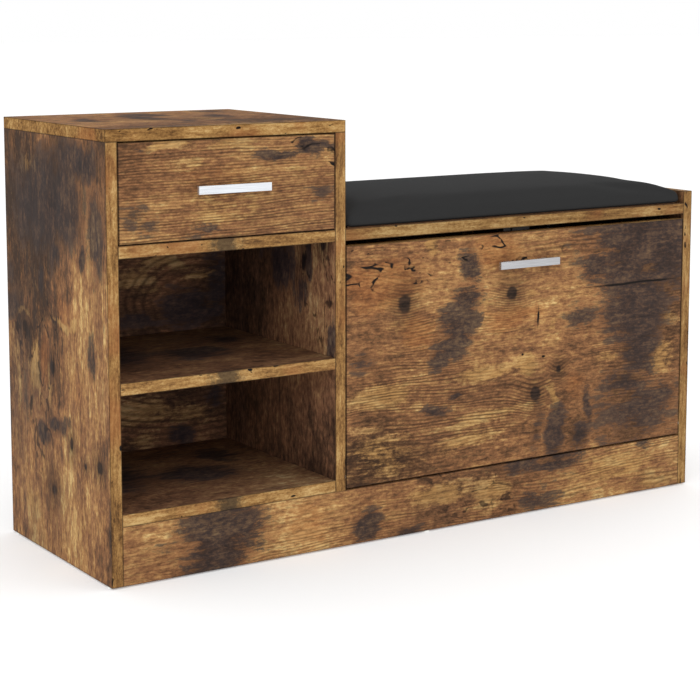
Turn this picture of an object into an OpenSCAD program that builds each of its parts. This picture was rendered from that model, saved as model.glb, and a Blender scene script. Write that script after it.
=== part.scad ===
// Entryway bench: a tower with a drawer and two open cubbies, joined to a low seat
// over a tilting shoe compartment. Millimetres, +Z up, front towards -Y.
// The origin is on the floor, in the middle of the whole bench.

/* [Case] */
// Overall width over the two outer side panels
case_w = 920; // [880:5:1000]
// Depth of the case boards, front edge to back edge
case_d = 300; // [295:5:330]
// Overall height, floor to the top of the tower
case_h = 550; // [540:5:600]
// Thickness of the laminated boards
board_t = 15; // [15:0.5:16]
// Width of the tower over its two upright panels
tower_w = 331; // [320:1:360]
// Height of the seat board's upper face above the floor
seat_z = 412.5; // [410:0.5:420]
// Height of the right side panel's upper edge above the floor
arm_z = 429.5; // [425:0.5:440]
// Height of the plinth's upper edge above the floor
plinth_z = 75; // [70:1:76]
// Height of the middle shelf's underside above the floor
middle_z = 234; // [220:1:245]
// Thickness of the nailed floor glides
glide_t = 2; // [1:0.5:3]

/* [Drawer] */
// Gap around the two inset fronts
front_gap = 1.5; // [1:0.25:2]
// Width of the runner space on each side of the drawer box
runner_w = 12.5; // [12.5:0.5:14]
// Length of the roller runners
runner_len = 250; // [240:10:260]
// Height of the drawer box sides
box_h = 85; // [60:5:95]
// Height of the runners' centre line above the drawer shelf
runner_rise = 15.5; // [14:0.5:20]
// Thickness of the drawer box and shoe rack boards
thin_t = 12; // [12:0.5:12.5]

/* [Flap] */
// Height of the pivot above the flap's lower edge
pivot_rise = 15; // [14:0.5:16]
// Height of the flap's lower edge above the plinth
flap_foot_gap = 2.2; // [2.2:0.1:3]
// Gap between the flap's upper edge and the seat board
flap_head_gap = 7; // [5:0.5:10]
// How far the flap tilts open, in degrees
flap_open = 45; // [30:1:45]
// Depth of the shoe rack behind the flap
rack_d = 190; // [150:5:195]

/* [Handles] */
// Length of a handle bar
handle_w = 100; // [90:2:130]
// Height of a handle bar
handle_h = 10; // [8:0.5:14]
// How far a handle stands out from its front
handle_reach = 14; // [12:0.5:20]
// Height of the drawer handle's centre above the floor
drawer_handle_z = 474; // [460:1:490]
// Height of the flap handle's centre above the floor
flap_handle_z = 349; // [330:1:360]

/* [Cushion] */
// Height of the cushion's crown above the seat board
cushion_crown = 33; // [28:1:40]
// Height of the cushion's upright edge
cushion_edge = 19; // [16:1:24]

/* [Hidden] */
$fn = 48;

oak = "#8a6238";
edge_oak = "#b08a4c";
rack_oak = "#7b5733";
hardboard = "#6b4c30";
cushion_grey = "#333436";
steel = "#b9bcc0";
satin = "#e4e6ea";
plastic = "#f2f2ef";
brown_plastic = "#4a3628";
beech = "#d8b98a";

// Planes of the case
left_x = -case_w / 2;
right_x = case_w / 2;
front_y = -(case_d + handle_reach) / 2 + handle_reach;
back_y = front_y + case_d;
left_in = left_x + board_t;
right_in = right_x - board_t;
div_r = left_x + tower_w;
div_l = div_r - board_t;
tower_mid = (left_in + div_l) / 2;
bench_mid = (div_r + right_in) / 2;
top_z = case_h - board_t;
shelf_z = seat_z - board_t;
floor_z = plinth_z + board_t;

// Back panels stand in grooves, and the boards inside the case stop in front of them
back_t = 3;
groove_w = 3.4;
groove_d = 4;
back_inset = 11;
groove_y = back_y - back_inset - groove_w;
inner_back = groove_y - 0.6;
back_low = plinth_z - 3;

// Cam fittings: a threaded bolt in one board, a cam lock in the other
cam_r = 7.5;
cam_set = 24;
cam_skin = 2.5;
cross_l = 8;
cross_w = 1.4;
cross_deep = 1.5;
bolt_r = 3.5;
bolt_bite = 10;
dowel_r = 4;
dowel_len = 20;
tower_cam_y = [front_y + 75, front_y + 210];
tower_dowel_y = [front_y + 40, front_y + 245];
bench_cam_y = [front_y + 100, front_y + 185];
bench_dowel_y = [front_y + 62, front_y + 228];
plinth_cam_z = 30;
plinth_dowel_z = 56;
rail_h = 60;
rail_cam_z = shelf_z - 40;
rail_dowel_z = shelf_z - 18;

// Each horizontal board's fittings: [point on the joint, rotation], one at each end
function ends(x0, x1, ys, z) = [
    for (y = ys) each [[[x0, y, z], [0, 0, 0]], [[x1, y, z], [0, 0, 180]]]
];
function uprights(ys) = [
    for (y = ys) each [
        [[left_x + board_t / 2, y, top_z], [180, 90, 0]],
        [[div_l + board_t / 2, y, top_z], [0, 90, 0]]
    ]
];
half_t = board_t / 2;
drawer_shelf_cams = ends(left_in, div_l, tower_cam_y, shelf_z + half_t);
drawer_shelf_dowels = ends(left_in, div_l, tower_dowel_y, shelf_z + half_t);
middle_cams = ends(left_in, div_l, tower_cam_y, middle_z + half_t);
middle_dowels = ends(left_in, div_l, tower_dowel_y, middle_z + half_t);
tower_floor_cams = ends(left_in, div_l, tower_cam_y, plinth_z + half_t);
tower_floor_dowels = ends(left_in, div_l, tower_dowel_y, plinth_z + half_t);
seat_cams = ends(div_r, right_in, bench_cam_y, shelf_z + half_t);
seat_dowels = ends(div_r, right_in, bench_dowel_y, shelf_z + half_t);
bench_floor_cams = ends(div_r, right_in, bench_cam_y, plinth_z + half_t);
bench_floor_dowels = ends(div_r, right_in, bench_dowel_y, plinth_z + half_t);
top_cams = uprights(tower_cam_y);
top_dowels = uprights(tower_dowel_y);
plinth_y = front_y + half_t;
plinth_cams = [
    [[left_in, plinth_y, plinth_cam_z], [90, 0, 0]],
    [[right_in, plinth_y, plinth_cam_z], [-90, 0, 180]]
];
plinth_dowels = concat(
    ends(left_in, right_in, [plinth_y], plinth_dowel_z),
    [[[div_l + half_t, front_y + board_t, plinth_dowel_z - 16], [0, 0, 90]]]
);
rail_y = inner_back - half_t;
rail_cams = [
    [[div_r, rail_y, rail_cam_z], [-90, 0, 0]],
    [[right_in, rail_y, rail_cam_z], [90, 0, 180]]
];
rail_dowels = ends(div_r, right_in, [rail_y], rail_dowel_z);
case_cams = concat(
    drawer_shelf_cams, middle_cams, tower_floor_cams, seat_cams, bench_floor_cams,
    top_cams, plinth_cams, rail_cams
);
case_dowel_spots = concat(
    drawer_shelf_dowels, middle_dowels, tower_floor_dowels, seat_dowels,
    bench_floor_dowels, top_dowels, plinth_dowels, rail_dowels
);
// The fittings that reach the upright panel whose middle plane is at x
function at_panel(spots, x) = [for (s = spots) if (abs(s[0][0] - x) < half_t + 0.1) s];

// Floor glides
glide_r = 7;
glide_in = 12;
plinth_back_y = front_y + board_t;
spike_r = 0.8;
spike_len = 12;
glide_spots = [
    [left_x + half_t, front_y + glide_in],
    [left_x + half_t, back_y - glide_in],
    [div_l + half_t, plinth_back_y + glide_in + 3],
    [div_l + half_t, back_y - glide_in],
    [right_x - half_t, front_y + glide_in],
    [right_x - half_t, back_y - glide_in],
    [0, plinth_y]
];

// Roller runners, drawn for the left side and mirrored about the drawer's middle.
// u runs from the case panel towards the drawer, w is height over the centre line.
sheet_t = 1.2;
runner_z = seat_z + runner_rise;
roller_r = 6;
roller_clear = 0.3;
flange_in = roller_r + roller_clear;
flange_out = flange_in + sheet_t;
case_runner_y = front_y + 18;
case_flange_w = 10;
case_lip_w = 5;
drawer_lip_u = 5.6;
drawer_foot_w = 11;
rivet_r = 2;
rivet_head_r = 3;
rivet_head_t = 0.8;
roller_w = 6.8;
roller_bore_r = 2.05;
front_roller_y = case_runner_y + 10;
rear_roller_y = front_y + board_t + runner_len - 10;
front_roller_u = 2.2;
rear_roller_u = 3;
case_screw_y = [case_runner_y + 42, case_runner_y + 132, case_runner_y + 227];
drawer_screw_y = [front_y + 45, front_y + 140, front_y + 225];
screw_r = 1.75;
screw_head_r = 3.2;
case_screw_len = 12;
drawer_screw_len = 9;

// Drawer box
half_open = (div_l - left_in) / 2;
box_x = half_open - runner_w;
box_y = front_y + board_t;
box_z = runner_z - flange_in;
box_top = box_z + box_h;
drawer_front_lo = [left_in + front_gap, front_y, seat_z + front_gap];
drawer_front_hi = [div_l - front_gap, box_y, top_z - front_gap];
bottom_t = 3;
bottom_z = box_z + 8;
bottom_groove = bottom_t + 0.2;
drawer_back_y = box_y + runner_len - thin_t;
drawer_cam_z = [box_z + 44];
drawer_dowel_z = [box_z + 24, box_z + 68];
small_dowel_r = 3;
back_screw_z = [box_z + 32, box_z + 68];
back_screw_r = 2;
back_screw_head_r = 3.6;
back_screw_len = 35;
bottom_screw_len = 14;
drawer_thin_x = box_x - thin_t / 2;
drawer_cams = [
    for (z = drawer_cam_z) each [
        [[tower_mid - drawer_thin_x, box_y, z], [-90, 0, 90]],
        [[tower_mid + drawer_thin_x, box_y, z], [90, 0, 90]]
    ]
];
drawer_dowel_spots = [
    for (z = drawer_dowel_z, s = [-1, 1]) [[tower_mid + s * drawer_thin_x, box_y, z], [0, 0, 90]]
];

// Handles: a bar on two legs set in from its ends, each held by a machine screw from behind
bar_t = 4;
leg_w = 8;
handle_pitch = 64;
handle_screw_r = 2;
handle_screw_in = 7;
pan_head_r = 4;
pan_head_t = 2.4;
drawer_handle_x = tower_mid;
flap_handle_x = bench_mid;

// Flap, with its pivot axis along X
flap_lo = [div_r + front_gap, front_y, plinth_z + flap_foot_gap];
flap_hi = [right_in - front_gap, front_y + board_t, shelf_z - flap_head_gap];
pivot_y = front_y + half_t;
pivot_z = flap_lo[2] + pivot_rise;
bench_floor_y = front_y + 26;
pin_r = 3;
pin_in_flap = 22;
pin_in_bush = 7;
bush_bore_r = 3.05;
bush_r = 5;
bush_depth = 9;
bush_bore_depth = 7.6;
bush_flange_r = 6.5;
bush_flange_t = 0.8;

// Shoe rack: two side plates, a floor, a middle shelf and two low back rails
rack_gap = 4;
rack_l = div_r + rack_gap;
rack_r = right_in - rack_gap;
rack_y = front_y + board_t;
rack_foot = flap_lo[2] + 18.8;
rack_depth_y = rack_y + rack_d;
rack_shoulder = rack_foot + 94;
rack_head = rack_foot + 270;
rack_mid_z = rack_foot + 146;
rack_floor_y = rack_depth_y - 4;
rack_mid_y = rack_y + 130;
rack_low_h = 52;
rack_up_h = 46;
peg_r = 4;
peg_in = 10;
peg_orbit = 120;
peg_angle = 75;
peg_out = rack_gap + thin_t - 2;
slot_clear = 0.3;
peg_y = pivot_y + peg_orbit * cos(peg_angle);
peg_z = pivot_z + peg_orbit * sin(peg_angle);
rack_cam_z = [rack_foot + 32, rack_foot + 246];
rack_dowel_z = [rack_foot + 60, rack_foot + 200];
rack_plate_x = [rack_l + thin_t / 2, rack_r - thin_t / 2];
rack_cams = [
    for (z = rack_cam_z) each [
        [[rack_plate_x[0], rack_y, z], [-90, 0, 90]],
        [[rack_plate_x[1], rack_y, z], [90, 0, 90]]
    ]
];
rack_dowel_spots = [
    for (z = rack_dowel_z, x = rack_plate_x) [[x, rack_y, z], [0, 0, 90]]
];
rack_screw_len = 40;
rack_screw_r = 2.5;
rack_screw_head_r = 4.5;
// [y, z] of the screws through the side plates, by the board that they hold
floor_screws = [for (y = [45, 145]) [rack_y + y, rack_foot + thin_t / 2]];
mid_screws = [for (y = [35, 95]) [rack_y + y, rack_mid_z + thin_t / 2]];
low_back_screws = [[rack_floor_y - thin_t / 2, rack_foot + thin_t + rack_low_h / 2]];
up_back_screws = [[rack_mid_y - thin_t / 2, rack_mid_z + thin_t + rack_up_h / 2]];
rack_screw_spots = concat(floor_screws, mid_screws, low_back_screws, up_back_screws);

// Magnetic catch under the seat board and its strike plate on the flap
catch_w = 44;
catch_h = 13.5;
catch_y = rack_y + 1.5;
catch_d = 15;
magnet_w = 18;
magnet_d = 2;
catch_screw_dx = 15;
catch_screw_y = catch_y + 9;
catch_screw_len = 22;
strike_w = 40;
strike_h = 13;
strike_t = 1.2;
strike_z = flap_hi[2] - 2 - strike_h;
strike_screw_len = 11;
strike_screw_dx = 12;

// Cushion
cushion_gap = 1;
cushion_base_t = 6;
cushion_base_inset = 8;
cushion_corner = 8;
cushion_screws = [
    for (x = [div_r + 90, bench_mid, right_in - 90], y = [front_y + 60, back_y - 70]) [x, y]
];
cushion_screw_len = board_t + 4;

// Shared shapes

module box(lo, hi) {
    translate(lo)
        cube(hi - lo);
}

module rod_x(x0, x1, y, z, r) {
    translate([x0, y, z])
        rotate([0, 90, 0])
            cylinder(h = x1 - x0, r = r);
}

module rod_y(x, y0, y1, z, r) {
    translate([x, y0, z])
        rotate([-90, 0, 0])
            cylinder(h = y1 - y0, r = r);
}

module rod_z(x, y, z0, z1, r) {
    translate([x, y, z0])
        cylinder(h = z1 - z0, r = r);
}

module placed(spot) {
    translate(spot[0])
        rotate(spot[1])
            children();
}

// A countersunk screw along +Z with its head's face at z = 0
module sunk_screw(len, r, head_r) {
    cylinder(h = head_r - r, r1 = head_r, r2 = r);
    cylinder(h = len, r = r);
}

// A cam bolt lies along X from the joint's plane, and the cam's mouth faces -Z
module cam_bolt() {
    rotate([0, 90, 0])
        translate([0, 0, -bolt_bite])
            cylinder(h = bolt_bite + cam_set, r = bolt_r);
}

// The drum, with a driver cross cut into its open face
module cam_lock(t) {
    difference() {
        translate([cam_set, 0, -t / 2])
            cylinder(h = t - cam_skin, r = cam_r);
        cam_bolt();
        translate([cam_set, 0, -t / 2])
            for (size = [[cross_l, cross_w], [cross_w, cross_l]])
                cube([size[0], size[1], 2 * cross_deep], center = true);
    }
}

module cam_bore(t) {
    cam_bolt();
    translate([cam_set, 0, -t / 2])
        cylinder(h = t - cam_skin, r = cam_r);
}

module dowel(r) {
    rotate([0, 90, 0])
        translate([0, 0, -bolt_bite])
            cylinder(h = bolt_bite + dowel_len, r = r);
}

// What the fittings remove from a board that holds their cams
module cam_board_cuts(cams, dowels) {
    for (s = cams)
        placed(s)
            cam_bore(board_t);
    for (s = dowels)
        placed(s)
            dowel(dowel_r);
}

// What the fittings remove from an upright that holds the threaded ends
module upright_cuts(x) {
    for (s = at_panel(case_cams, x))
        placed(s)
            cam_bolt();
    for (s = at_panel(case_dowel_spots, x))
        placed(s)
            dowel(dowel_r);
    for (g = glide_spots)
        if (abs(g[0] - x) < 1)
            rod_z(g[0], g[1], glide_t, glide_t + spike_len, spike_r);
}

module drawer_side_of(s) {
    translate([tower_mid, 0, 0])
        mirror([s > 0 ? 1 : 0, 0, 0])
            translate([-half_open, 0, 0])
                children();
}

// Case boards

module left_side_panel() {
    color(oak)
        difference() {
            box([left_x, front_y, glide_t], [left_in, back_y, top_z]);
            upright_cuts(left_x + half_t);
            for (s = top_cams)
                placed(s)
                    cam_bore(board_t);
            box([left_in - groove_d, groove_y, 0], [left_in + 1, groove_y + groove_w, case_h]);
            case_screw_holes(-1);
        }
}

module divider_panel() {
    color(oak)
        difference() {
            box([div_l, front_y, glide_t], [div_r, back_y, top_z]);
            box([div_l - 1, front_y - 1, 0], [div_r + 1, front_y + board_t, plinth_z]);
            upright_cuts(div_l + half_t);
            for (s = top_cams)
                placed(s)
                    cam_bore(board_t);
            box([div_l - 1, groove_y, 0], [div_l + groove_d, groove_y + groove_w, case_h]);
            box([div_r - groove_d, groove_y, 0], [div_r + 1, groove_y + groove_w, shelf_z + groove_d]);
            case_screw_holes(1);
            rod_x(div_r - bush_depth, div_r + 1, pivot_y, pivot_z, bush_r);
            rod_x(div_r - peg_in, div_r + 1, peg_y, peg_z, peg_r);
        }
}

module right_side_panel() {
    color(oak)
        difference() {
            box([right_in, front_y, glide_t], [right_x, back_y, arm_z]);
            upright_cuts(right_x - half_t);
            box(
                [right_in - 1, groove_y, 0],
                [right_in + groove_d, groove_y + groove_w, shelf_z + groove_d]
            );
            rod_x(right_in - 1, right_in + bush_depth, pivot_y, pivot_z, bush_r);
            rod_x(right_in - 1, right_in + peg_in, peg_y, peg_z, peg_r);
        }
}

module tower_top() {
    color(oak)
        difference() {
            box([left_x, front_y, top_z], [div_r, back_y, case_h]);
            cam_board_cuts(top_cams, top_dowels);
            box(
                [left_in - groove_d, groove_y, top_z - 1],
                [div_l + groove_d, groove_y + groove_w, top_z + groove_d]
            );
        }
}

module shelf_board(x0, x1, y0, z, cams, dowels) {
    difference() {
        box([x0, y0, z], [x1, inner_back, z + board_t]);
        cam_board_cuts(cams, dowels);
    }
}

module drawer_shelf() {
    color(oak)
        shelf_board(left_in, div_l, front_y, shelf_z, drawer_shelf_cams, drawer_shelf_dowels);
}

module middle_shelf() {
    color(oak)
        shelf_board(left_in, div_l, front_y, middle_z, middle_cams, middle_dowels);
}

module tower_floor() {
    color(oak)
        shelf_board(left_in, div_l, front_y, plinth_z, tower_floor_cams, tower_floor_dowels);
}

module bench_floor() {
    color(oak)
        shelf_board(div_r, right_in, bench_floor_y, plinth_z, bench_floor_cams, bench_floor_dowels);
}

module seat_board() {
    color(edge_oak)
        difference() {
            box([div_r, front_y, shelf_z], [right_in, back_y, seat_z]);
            cam_board_cuts(seat_cams, seat_dowels);
            box(
                [div_r - 1, groove_y, shelf_z - 1],
                [right_in + 1, groove_y + groove_w, shelf_z + groove_d]
            );
            cushion_screw_shapes();
            catch_screw_shapes();
        }
}

module plinth() {
    color(oak)
        difference() {
            box([left_in, front_y, glide_t], [right_in, front_y + board_t, plinth_z]);
            cam_board_cuts(plinth_cams, plinth_dowels);
            rod_z(0, plinth_y, glide_t, glide_t + spike_len, spike_r);
        }
}

module rear_rail() {
    color(oak)
        difference() {
            box([div_r, inner_back - board_t, shelf_z - rail_h], [right_in, inner_back, shelf_z]);
            cam_board_cuts(rail_cams, rail_dowels);
        }
}

module back_sheet(x0, x1, top) {
    reach = groove_d - 0.5;
    box([x0 - reach, groove_y + 0.2, back_low], [x1 + reach, groove_y + 0.2 + back_t, top + reach]);
}

module tower_back() {
    color(hardboard)
        back_sheet(left_in, div_l, top_z);
}

module bench_back() {
    color(hardboard)
        back_sheet(div_r, right_in, shelf_z);
}

// Cushion

module cushion_slab(inset, z0, z1) {
    x0 = div_r + cushion_gap + inset + cushion_corner;
    x1 = right_in - cushion_gap - inset - cushion_corner;
    y0 = front_y + cushion_gap + inset + cushion_corner;
    y1 = back_y - cushion_gap - inset - cushion_corner;
    for (x = [x0, x1], y = [y0, y1])
        translate([x, y, seat_z + z0])
            cylinder(h = z1 - z0, r = cushion_corner, $fn = 32);
}

module seat_cushion() {
    color(cushion_grey)
        difference() {
            hull() {
                cushion_slab(0, 0, cushion_edge);
                cushion_slab(6, 0, cushion_edge + 3.5);
                cushion_slab(25, 0, cushion_edge + 8);
                cushion_slab(80, 0, cushion_crown);
            }
            cushion_base_shape();
        }
}

module cushion_base_shape() {
    inset = cushion_gap + cushion_base_inset;
    box(
        [div_r + inset, front_y + inset, seat_z],
        [right_in - inset, back_y - inset, seat_z + cushion_base_t]
    );
}

module cushion_base() {
    color(hardboard)
        difference() {
            cushion_base_shape();
            cushion_screw_shapes();
        }
}

module cushion_screw_shapes() {
    for (p = cushion_screws)
        translate([p[0], p[1], shelf_z])
            sunk_screw(cushion_screw_len, screw_r, screw_head_r);
}

// Fittings and small parts of the case

module floor_glides() {
    color(plastic)
        for (g = glide_spots) {
            rod_z(g[0], g[1], 0, glide_t, glide_r);
            rod_z(g[0], g[1], glide_t, glide_t + spike_len, spike_r);
        }
}

module case_dowels() {
    color(beech)
        for (s = case_dowel_spots)
            placed(s)
                dowel(dowel_r);
}

module case_cam_bolts() {
    color(steel)
        for (s = case_cams)
            placed(s)
                cam_bolt();
}

module case_cam_locks() {
    color(steel)
        for (s = case_cams)
            placed(s)
                cam_lock(board_t);
}

// Channel screwed to the case, with its flanges towards the drawer
module case_runner_shape() {
    y1 = case_runner_y + runner_len;
    difference() {
        union() {
            box([0, case_runner_y, runner_z - flange_out], [sheet_t, y1, runner_z + flange_out]);
            box([0, case_runner_y, runner_z - flange_out], [case_flange_w, y1, runner_z - flange_in]);
            box([0, case_runner_y, runner_z + flange_in], [case_lip_w, y1, runner_z + flange_out]);
        }
        case_screw_shapes();
        rod_x(-1, 2, front_roller_y, runner_z, rivet_r);
    }
}

module case_screw_shapes() {
    for (y = case_screw_y)
        translate([sheet_t, y, runner_z])
            rotate([0, -90, 0])
                sunk_screw(case_screw_len, screw_r, screw_head_r);
}

module case_screw_holes(s) {
    drawer_side_of(s)
        case_screw_shapes();
}

module case_runner_left() {
    color(steel)
        drawer_side_of(-1)
            case_runner_shape();
}

module case_runner_right() {
    color(steel)
        drawer_side_of(1)
            case_runner_shape();
}

module front_roller_rivets() {
    head_u = front_roller_u + roller_w + 0.3;
    color(steel)
        for (s = [-1, 1])
            drawer_side_of(s) {
                rod_x(0, head_u, front_roller_y, runner_z, rivet_r);
                rod_x(head_u, head_u + rivet_head_t, front_roller_y, runner_z, rivet_head_r);
            }
}

module catch_screw_shapes() {
    for (dx = [-catch_screw_dx, catch_screw_dx])
        translate([bench_mid + dx, catch_screw_y, shelf_z - catch_h])
            sunk_screw(catch_screw_len, screw_r, screw_head_r);
}

module case_screws() {
    color(steel) {
        case_screw_holes(-1);
        case_screw_holes(1);
        cushion_screw_shapes();
        catch_screw_shapes();
    }
}

module bush_shape() {
    rotate([0, 90, 0])
        difference() {
            union() {
                translate([0, 0, -bush_depth])
                    cylinder(h = bush_depth, r = bush_r);
                cylinder(h = bush_flange_t, r = bush_flange_r);
            }
            translate([0, 0, -bush_bore_depth])
                cylinder(h = bush_bore_depth + 2, r = bush_bore_r);
        }
}

module pivot_bushes() {
    color(plastic) {
        translate([div_r, pivot_y, pivot_z])
            bush_shape();
        translate([right_in, pivot_y, pivot_z])
            mirror([1, 0, 0])
                bush_shape();
    }
}

module stop_pegs() {
    color(steel) {
        rod_x(div_r - peg_in, div_r + peg_out, peg_y, peg_z, peg_r);
        rod_x(right_in - peg_out, right_in + peg_in, peg_y, peg_z, peg_r);
    }
}

module magnetic_catch() {
    color(brown_plastic)
        difference() {
            union() {
                box(
                    [bench_mid - catch_w / 2, catch_y + magnet_d, shelf_z - catch_h],
                    [bench_mid + catch_w / 2, catch_y + catch_d, shelf_z]
                );
                box(
                    [bench_mid - magnet_w / 2, catch_y, shelf_z - catch_h + 2],
                    [bench_mid + magnet_w / 2, catch_y + magnet_d, shelf_z - 3]
                );
            }
            catch_screw_shapes();
        }
}

// Drawer

module drawer_front() {
    color(oak)
        difference() {
            box(drawer_front_lo, drawer_front_hi);
            for (s = drawer_cams)
                placed(s)
                    cam_bolt();
            for (s = drawer_dowel_spots)
                placed(s)
                    dowel(small_dowel_r);
            drawer_bottom_space();
            handle_screw_holes(drawer_handle_x, drawer_handle_z);
        }
}

module drawer_bottom_space() {
    x = box_x - thin_t + groove_d;
    box(
        [tower_mid - x, box_y - groove_d, bottom_z],
        [tower_mid + x, box_y + runner_len + 1, bottom_z + bottom_groove]
    );
}

module drawer_side(s) {
    difference() {
        box(
            [tower_mid + (s < 0 ? -box_x : box_x - thin_t), box_y, box_z],
            [tower_mid + (s < 0 ? thin_t - box_x : box_x), box_y + runner_len, box_top]
        );
        for (c = drawer_cams)
            placed(c)
                cam_bore(thin_t);
        for (c = drawer_dowel_spots)
            placed(c)
                dowel(small_dowel_r);
        drawer_bottom_space();
        drawer_runner_screws(s);
        drawer_back_screws(s);
    }
}

module drawer_side_left() {
    color(rack_oak)
        drawer_side(-1);
}

module drawer_side_right() {
    color(rack_oak)
        drawer_side(1);
}

module drawer_back() {
    x = box_x - thin_t;
    color(rack_oak)
        difference() {
            box(
                [tower_mid - x, drawer_back_y, bottom_z + bottom_groove],
                [tower_mid + x, drawer_back_y + thin_t, box_top]
            );
            drawer_back_screws(-1);
            drawer_back_screws(1);
            drawer_bottom_screws();
        }
}

module drawer_bottom() {
    x = box_x - thin_t + groove_d - 0.5;
    color(hardboard)
        difference() {
            box(
                [tower_mid - x, box_y - groove_d + 0.5, bottom_z + bottom_groove - bottom_t],
                [tower_mid + x, drawer_back_y + thin_t, bottom_z + bottom_groove]
            );
            drawer_bottom_screws();
        }
}

// Drawer screws: three through each runner, two into each end of the back board
// and three up through the bottom sheet
module drawer_runner_screw_shapes() {
    for (y = drawer_screw_y)
        translate([runner_w - sheet_t, y, runner_z])
            rotate([0, 90, 0])
                sunk_screw(drawer_screw_len, screw_r, screw_head_r);
}

module drawer_runner_screws(s) {
    drawer_side_of(s)
        drawer_runner_screw_shapes();
}

module drawer_back_screws(s) {
    drawer_side_of(s)
        for (z = back_screw_z)
            translate([runner_w, drawer_back_y + thin_t / 2, z])
                rotate([0, 90, 0])
                    sunk_screw(back_screw_len, back_screw_r, back_screw_head_r);
}

module drawer_bottom_screws() {
    for (dx = [-90, 0, 90])
        translate([tower_mid + dx, drawer_back_y + thin_t / 2, bottom_z + bottom_groove - bottom_t])
            sunk_screw(bottom_screw_len, screw_r, screw_head_r);
}

module drawer_screws() {
    color(steel) {
        for (s = [-1, 1]) {
            drawer_runner_screws(s);
            drawer_back_screws(s);
        }
        drawer_bottom_screws();
    }
}

module drawer_dowels() {
    color(beech)
        for (s = drawer_dowel_spots)
            placed(s)
                dowel(small_dowel_r);
}

module drawer_cam_bolts() {
    color(steel)
        for (s = drawer_cams)
            placed(s)
                cam_bolt();
}

module drawer_cam_locks() {
    color(steel)
        for (s = drawer_cams)
            placed(s)
                cam_lock(thin_t);
}

// Angle screwed to the drawer side, with a lip over the front roller
module drawer_runner_shape() {
    web_u = runner_w - sheet_t;
    y1 = box_y + runner_len;
    difference() {
        union() {
            box([web_u, box_y, runner_z - flange_out], [runner_w, y1, runner_z + flange_out]);
            box(
                [web_u, box_y, runner_z - flange_out],
                [runner_w + drawer_foot_w, y1, runner_z - flange_in]
            );
            box([drawer_lip_u, box_y, runner_z + flange_in], [runner_w, y1, runner_z + flange_out]);
        }
        drawer_runner_screw_shapes();
        rod_x(web_u - 1, runner_w + 1, rear_roller_y, runner_z, rivet_r);
    }
}

module drawer_runner_left() {
    color(steel)
        drawer_side_of(-1)
            drawer_runner_shape();
}

module drawer_runner_right() {
    color(steel)
        drawer_side_of(1)
            drawer_runner_shape();
}

module rear_roller_rivets() {
    head_u = rear_roller_u - 0.3;
    color(steel)
        for (s = [-1, 1])
            drawer_side_of(s) {
                rod_x(head_u, runner_w, rear_roller_y, runner_z, rivet_r);
                rod_x(head_u - rivet_head_t, head_u, rear_roller_y, runner_z, rivet_head_r);
            }
}

module roller(s, u, y) {
    color(plastic)
        drawer_side_of(s)
            translate([u, y, runner_z])
                rotate([0, 90, 0])
                    difference() {
                        cylinder(h = roller_w, r = roller_r);
                        translate([0, 0, -1])
                            cylinder(h = roller_w + 2, r = roller_bore_r);
                    }
}

module front_roller_left() {
    roller(-1, front_roller_u, front_roller_y);
}

module front_roller_right() {
    roller(1, front_roller_u, front_roller_y);
}

module rear_roller_left() {
    roller(-1, rear_roller_u, rear_roller_y);
}

module rear_roller_right() {
    roller(1, rear_roller_u, rear_roller_y);
}

// Handles

module handle(x, z) {
    bar_y = front_y - handle_reach;
    color(satin)
        difference() {
            union() {
                box(
                    [x - handle_w / 2, bar_y, z - handle_h / 2],
                    [x + handle_w / 2, bar_y + bar_t, z + handle_h / 2]
                );
                for (s = [-1, 1])
                    box(
                        [x + s * handle_pitch / 2 - leg_w / 2, bar_y + 1, z - handle_h / 2 + 1],
                        [x + s * handle_pitch / 2 + leg_w / 2, front_y, z + handle_h / 2 - 1]
                    );
            }
            handle_screw_holes(x, z);
        }
}

module handle_screw_holes(x, z) {
    for (s = [-1, 1])
        rod_y(x + s * handle_pitch / 2, front_y - handle_screw_in, box_y, z, handle_screw_r);
}

module handle_screws(x, z) {
    color(steel) {
        handle_screw_holes(x, z);
        for (s = [-1, 1])
            rod_y(x + s * handle_pitch / 2, box_y, box_y + pan_head_t, z, pan_head_r);
    }
}

module drawer_handle() {
    handle(drawer_handle_x, drawer_handle_z);
}

module drawer_handle_screws() {
    handle_screws(drawer_handle_x, drawer_handle_z);
}

module flap_handle() {
    handle(flap_handle_x, flap_handle_z);
}

module flap_handle_screws() {
    handle_screws(flap_handle_x, flap_handle_z);
}

// Flap and shoe rack

module flap_front() {
    color(oak)
        difference() {
            box(flap_lo, flap_hi);
            for (s = rack_cams)
                placed(s)
                    cam_bolt();
            for (s = rack_dowel_spots)
                placed(s)
                    dowel(small_dowel_r);
            handle_screw_holes(flap_handle_x, flap_handle_z);
            pivot_pin_shapes();
            strike_screw_shapes();
        }
}

module pivot_pin_shapes() {
    rod_x(div_r - pin_in_bush, flap_lo[0] + pin_in_flap, pivot_y, pivot_z, pin_r);
    rod_x(flap_hi[0] - pin_in_flap, right_in + pin_in_bush, pivot_y, pivot_z, pin_r);
}

module flap_pivot_pins() {
    color(steel)
        pivot_pin_shapes();
}

// The stop slot is an arc about the pivot, with a round end at each limit
module stop_slot(x0, x1) {
    slot_r = peg_r + slot_clear;
    translate([x0, pivot_y, pivot_z])
        rotate([90, 0, 90])
            union() {
                rotate([0, 0, peg_angle - flap_open])
                    rotate_extrude(angle = flap_open)
                        translate([peg_orbit - slot_r, 0])
                            square([2 * slot_r, x1 - x0]);
                for (a = [peg_angle - flap_open, peg_angle])
                    rotate([0, 0, a])
                        translate([peg_orbit, 0, 0])
                            cylinder(h = x1 - x0, r = slot_r);
            }
}

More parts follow.
